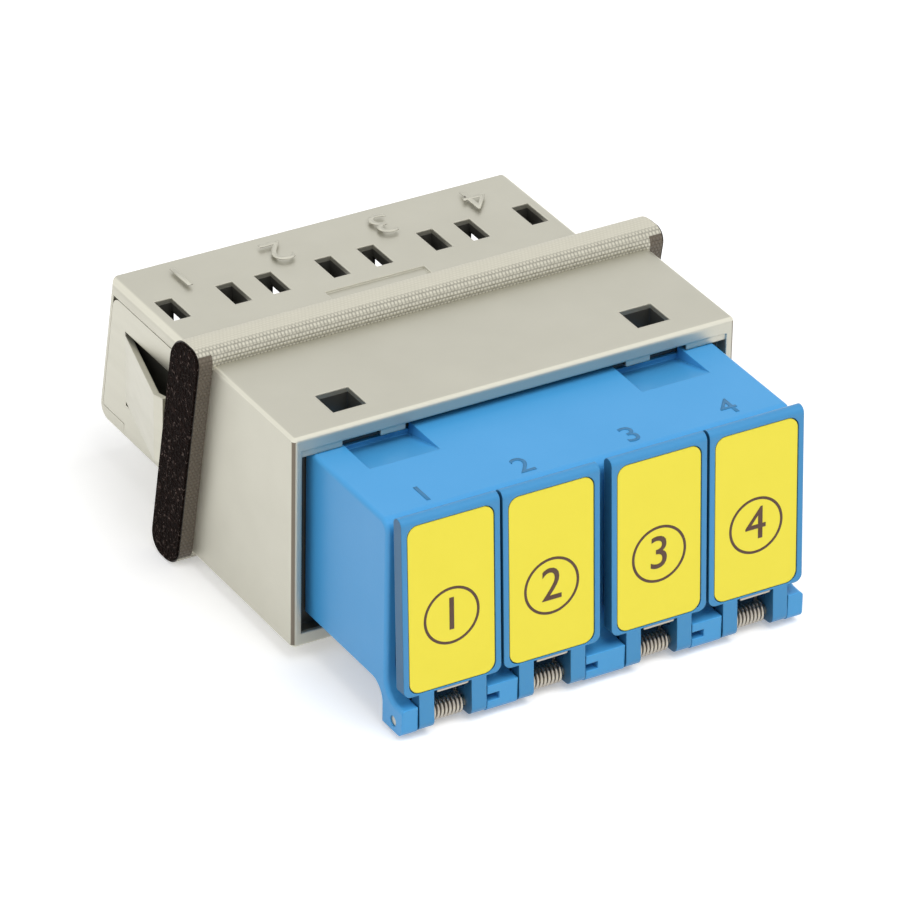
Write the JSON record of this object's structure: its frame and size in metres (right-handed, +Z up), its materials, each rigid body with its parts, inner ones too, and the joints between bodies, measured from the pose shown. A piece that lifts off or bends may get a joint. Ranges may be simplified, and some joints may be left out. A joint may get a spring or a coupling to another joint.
{
  "type": "lc fibre adapter",
  "caption": "Fibre adapter in a metal shell with a panel gasket and side clip: LC plugs meet nose to nose inside, behind sprung shutters with labels.",
  "frame": {"origin": "under the middle of the adapter, on the lowest line of the gasket", "axes": "+X across the ports, +Y from the shutters to the rear ports, +Z up, on the latch side of the ports"},
  "size_m": [0.0294, 0.034, 0.0149],
  "materials": {
    "cast_metal": "nickel-plated zinc die casting, fine satin",
    "spring_steel": "plain spring steel",
    "gasket_cloth": "woven conductive cloth",
    "gasket_foam": "open-cell foam",
    "blue_plastic": "moulded, fine satin",
    "white_plastic": "moulded",
    "ceramic": "polished zirconia ceramic",
    "yellow_label": "printed label card"
  },
  "bodies": {
    "adapter": {"metal_shell": "cast_metal", "panel_clip": "spring_steel", "gasket_fabric": "gasket_cloth", "gasket_foam": "gasket_foam", "front_housing": "blue_plastic", "hinge_pin": "spring_steel", "sleeve_holder_front": "white_plastic", "sleeve_holder_rear": "white_plastic", "alignment_sleeve_1": "ceramic", "alignment_sleeve_2": "ceramic", "alignment_sleeve_3": "ceramic", "alignment_sleeve_4": "ceramic"},
    "door_1": {"shutter_door_1": "blue_plastic", "label_1": "yellow_label", "torsion_spring_1": "spring_steel"},
    "door_2": {"shutter_door_2": "blue_plastic", "label_2": "yellow_label", "torsion_spring_2": "spring_steel"},
    "door_3": {"shutter_door_3": "blue_plastic", "label_3": "yellow_label", "torsion_spring_3": "spring_steel"},
    "door_4": {"shutter_door_4": "blue_plastic", "label_4": "yellow_label", "torsion_spring_4": "spring_steel"}
  },
  "joints": [
    {"name": "door_1_hinge", "type": "hinge", "parent": "adapter", "child": "door_1", "pos_m": [-0.00946, -0.01597, 0.00092], "axis": [1, 0, 0], "range_deg": [0, 95], "stiffness_Nm_per_rad": 0.0003, "springref_deg": -68.75},
    {"name": "door_2_hinge", "type": "hinge", "parent": "adapter", "child": "door_2", "pos_m": [-0.00334, -0.01597, 0.00092], "axis": [1, 0, 0], "range_deg": [0, 95], "stiffness_Nm_per_rad": 0.0003, "springref_deg": -68.75},
    {"name": "door_3_hinge", "type": "hinge", "parent": "adapter", "child": "door_3", "pos_m": [0.00334, -0.01597, 0.00092], "axis": [1, 0, 0], "range_deg": [0, 95], "stiffness_Nm_per_rad": 0.0003, "springref_deg": -68.75},
    {"name": "door_4_hinge", "type": "hinge", "parent": "adapter", "child": "door_4", "pos_m": [0.00946, -0.01597, 0.00092], "axis": [1, 0, 0], "range_deg": [0, 95], "stiffness_Nm_per_rad": 0.0003, "springref_deg": -68.75}
  ]
}
